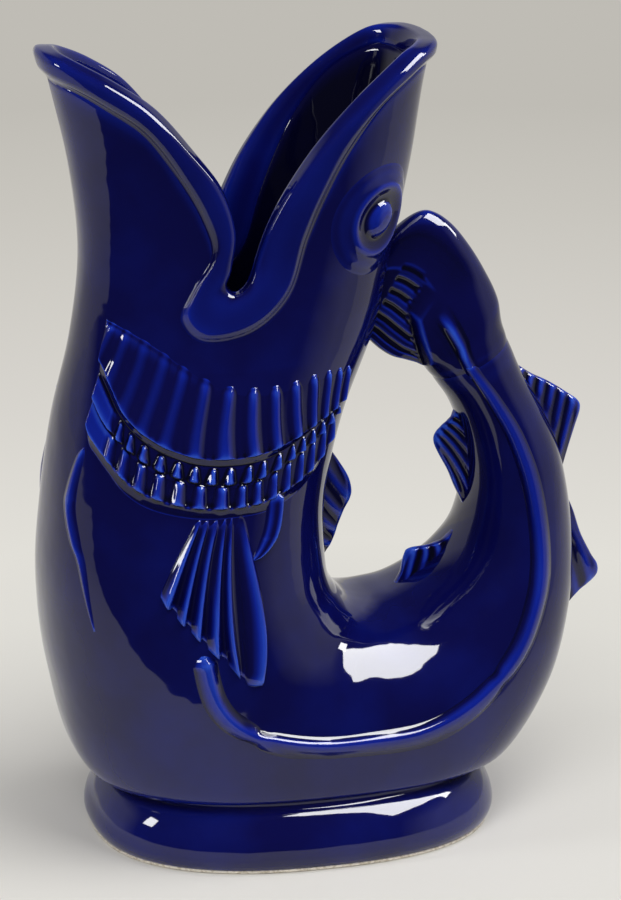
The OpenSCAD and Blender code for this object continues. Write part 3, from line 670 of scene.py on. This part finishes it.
def tailFinPlace(u, v):  # a dished upper lobe, and a bevelled lower lobe with slots between its rays
    k, s = tailFinShape, skinShape
    rays, slots, dish, crest, hollow = (k[part] for part in ("rays", "slots", "dish", "crest", "hollow"))
    n = k["start"] + v * (len(k["rows"]) - 1 - k["start"])
    r = tailFinRow(n)
    a = math.radians(360 * u)
    c = math.cos(a)
    down = (1 - c) / 2  # 0 on the upper edge, 1 on the lower edge
    ux, uz, lx, lz = r[0] * s["length"], r[1] * s["height"], r[2] * s["length"], r[3] * s["height"]
    half = r[4] * s["width"] / 2
    y = half * abs(squared(math.sin(a), 2 + (k["squareness"] - 2) * smooth(0, 1, n)))
    root = rays["root"] - rays["slant"] * max(0, down - rays["slantFrom"])  # where the rays leave the tail
    lobe = smooth(root - rays["before"], root + rays["after"], n) * smooth(*rays["edge"], down)
    flat = half * (1 - rays["bevel"] * (down - rays["from"]) / (1 - rays["from"]))
    bevelled = min(y, y + lobe * (flat - y))
    ray = 0.5 + 0.5 * math.cos(2 * math.pi * (down - rays["first"]) / rays["pitch"])
    tip = root + slots["start"] - slots["lead"] * ray  # a ray's tip reaches farther towards the tail
    slot = lobe * (1 - smooth(*slots["width"], ray)) * smooth(tip - slots["before"], tip + slots["after"], n)
    slot *= smooth(*slots["end"], n) * smooth(*slots["edge"], down)
    slot *= 1 - slots["faint"] * smooth(*slots["faintBelow"], down)
    dished = band(dish["down"], down) * smooth(*dish["rows"], n)
    off = down - curve(crest["line"], n)
    ridge = smooth(crest["below"] if off > 0 else -crest["above"], 0, off) * smooth(*crest["rows"], n)
    hollowed = band(hollow["below"], off) * band(hollow["rows"], n)
    y = bevelled - slots["deep"] * slot - dish["deep"] * dished + crest["proud"] * ridge
    y = max(0, y - hollow["deep"] * hollowed)
    inside = 1 - k["sunk"] * smooth(k["sunkTo"], k["start"], n)
    # the fan is painted a little darker overall, darker still in the dish (painted shade) and the slots
    # (painted shadow), and lighter on the crest (painted highlight)
    lift = crest["bright"] * ridge - k["dark"] - dish["dark"] * dished - slots["dark"] * slot
    return Vector(((ux + lx) / 2 + (ux - lx) / 2 * c * inside, math.copysign(y * inside, math.sin(a)),
                   (uz + lz) / 2 + (uz - lz) / 2 * c * inside)), lift


makePiece("tailFan", ["tail_fin"], "cobalt_glaze", tailFinShape["around"], tailFinShape["along"], tailFinPlace,
          capped=True)

cameraSpot = {
    "place": (-319.9, -1220.2, 501.4), "target": (7.1, 0, 115.2), "lens": 176.8, "sensor": 36, "farthest": 20,
}
cameraData = bpy.data.cameras.new("camera")
cameraData.sensor_fit = "VERTICAL"
cameraData.sensor_height = cameraSpot["sensor"]
cameraData.lens = cameraSpot["lens"]
cameraData.clip_end = cameraSpot["farthest"]
camera = bpy.data.objects.new("camera", cameraData)
camera.location = Vector(cameraSpot["place"]) * mm
sight = Vector(cameraSpot["target"]) - Vector(cameraSpot["place"])
camera.rotation_euler = sight.to_track_quat("-Z", "Y").to_euler()
bpy.context.scene.collection.objects.link(camera)
bpy.context.scene.camera = camera

paperShape = {
    "width": 5, "front": -0.17, "back": 3.4, "roughness": 0.7, "specular": 0.2, "fades": (0.04, 0.27),
    "colours": [(0, "#E2DFD9"), (0.2, "#E5E3DC"), (0.45, "#D7D4CE"), (0.78, "#C8C5BE"), (1, "#BFBCB5")],
}


def paperMaterial():  # smooth matt studio paper: takes the jug's shadow; its colour is painted darker with distance from the jug, a painted falloff of light
    k = paperShape
    material, tree = newMaterial("palePaper")
    coords = addNode(tree, "ShaderNodeTexCoord")
    distance = addNode(tree, "ShaderNodeVectorMath", {"operation": "LENGTH"}, {0: coords.outputs["Object"]})
    colour = colourRamp(tree, k["colours"], distance.outputs["Value"])
    far = addNode(tree, "ShaderNodeMapRange", {"From Min": k["fades"][0], "From Max": k["fades"][1]},
                  {"Value": distance.outputs["Value"]})
    ray = addNode(tree, "ShaderNodeLightPath")
    mirrored = addNode(tree, "ShaderNodeMath", {"operation": "ADD"},
                       {0: ray.outputs["Is Glossy Ray"], 1: ray.outputs["Is Transmission Ray"]})
    seen = addNode(tree, "ShaderNodeMath", {"operation": "ADD", "use_clamp": True},
                   {0: mirrored.outputs["Value"], 1: ray.outputs["Is Camera Ray"]})
    amount = addNode(tree, "ShaderNodeMath", {"operation": "MULTIPLY"},
                     {0: far.outputs["Result"], 1: seen.outputs["Value"]})
    shader = addNode(tree, "ShaderNodeBsdfPrincipled",
                     {"Roughness": k["roughness"], "Specular IOR Level": k["specular"]}, {"Base Color": colour})
    glow = addNode(tree, "ShaderNodeEmission", {"Strength": 1.0}, {"Color": colour})
    mix = addNode(tree, "ShaderNodeMixShader", None,
                  {0: amount.outputs["Value"], 1: shader.outputs["BSDF"], 2: glow.outputs["Emission"]})
    addNode(tree, "ShaderNodeOutputMaterial", None, {"Surface": mix.outputs["Shader"]})
    return material


def paperFloor():  # a level sheet from just in front of the jug to well behind it
    k = paperShape
    bm = bmesh.new()
    bmesh.ops.create_grid(bm, x_segments=8, y_segments=8, size=0.5)
    for v in bm.verts:
        v.co = Vector((v.co.x * k["width"], k["front"] + (v.co.y + 0.5) * (k["back"] - k["front"]), 0))
    mesh = bpy.data.meshes.new("paperFloor")
    bm.to_mesh(mesh)
    bm.free()
    mesh.materials.append(paperMaterial())
    sheet = bpy.data.objects.new("paperFloor", mesh)
    bpy.context.scene.collection.objects.link(sheet)


paperFloor()

roomLook = {
    "dark": 0.05, "light": 0.58, "colour": "#DAD9E2", "seen": "#D2CFC8",
    "right": (0.6, 0.85), "behind": (0.1, 0.4), "low": (0.6, 0.4),  # where the walls begin and are full
}


def studioRoom():  # dark in front and overhead, pale walls to the right and behind
    k = roomLook
    world = bpy.data.worlds.new("studio")
    bpy.context.scene.world = world
    world.use_nodes = True
    tree = world.node_tree
    tree.nodes.clear()
    coords = addNode(tree, "ShaderNodeTexCoord")
    way = addNode(tree, "ShaderNodeSeparateXYZ", None, {0: coords.outputs["Generated"]})
    right, behind, low = (
        addNode(tree, "ShaderNodeMapRange", {"From Min": k[wall][0], "From Max": k[wall][1]},
                {"Value": way.outputs[axis]}).outputs["Result"]
        for wall, axis in (("right", "X"), ("behind", "Y"), ("low", "Z")))
    sides = addNode(tree, "ShaderNodeMath", {"operation": "MAXIMUM"}, {0: right, 1: behind})
    walls = addNode(tree, "ShaderNodeMath", {"operation": "MULTIPLY"}, {0: sides.outputs["Value"], 1: low})
    level = addNode(tree, "ShaderNodeMath", {"operation": "MULTIPLY_ADD", 1: k["light"], 2: k["dark"]},
                    {0: walls.outputs["Value"]})
    room = addNode(tree, "ShaderNodeBackground", {"Color": linear(k["colour"])},
                   {"Strength": level.outputs["Value"]})
    seen = addNode(tree, "ShaderNodeBackground", {"Color": linear(k["seen"])})
    ray = addNode(tree, "ShaderNodeLightPath")
    mix = addNode(tree, "ShaderNodeMixShader", None,
                  {0: ray.outputs["Is Camera Ray"], 1: room.outputs["Background"],
                   2: seen.outputs["Background"]})
    addNode(tree, "ShaderNodeOutputWorld", None, {"Surface": mix.outputs["Shader"]})


studioRoom()

lamps = [  # name, azimuth, elevation and distance from the jug, width, height, watts, in the glaze, on matt
    ("windowSoftbox", 62, 54, 1.2, 0.78, 0.86, 36, True, False),
    ("leftSoftbox", -87, 25, 1.2, 0.18, 0.24, 2.4, True, True),
    ("rightSoftbox", 85, 31, 1.2, 0.2, 0.2, 2.3, True, False),
    ("ceilingFill", 46, 58, 1.8, 1.5, 1.5, 26, False, True),
    ("frontFill", -28, 36, 1.9, 1.1, 1.1, 17, False, True),
]


def studioLamps():
    middle = Vector((0, 0, 0.1))  # metres, about the middle of the jug
    for name, azimuth, elevation, distance, width, height, watts, mirrored, lighting in lamps:
        data = bpy.data.lights.new(name, "AREA")
        data.shape = "RECTANGLE"
        data.size, data.size_y = width, height
        data.energy = watts
        lamp = bpy.data.objects.new(name, data)
        a, e = math.radians(azimuth), math.radians(elevation)
        spot = Vector((math.sin(a) * math.cos(e), -math.cos(a) * math.cos(e), math.sin(e))) * distance
        lamp.location = middle + spot
        lamp.rotation_euler = (-spot).to_track_quat("-Z", "Y").to_euler()
        lamp.visible_glossy, lamp.visible_diffuse = mirrored, lighting
        bpy.context.scene.collection.objects.link(lamp)


studioLamps()
bpy.context.scene.view_settings.view_transform = "Standard"
print("camera, paper and lights placed")
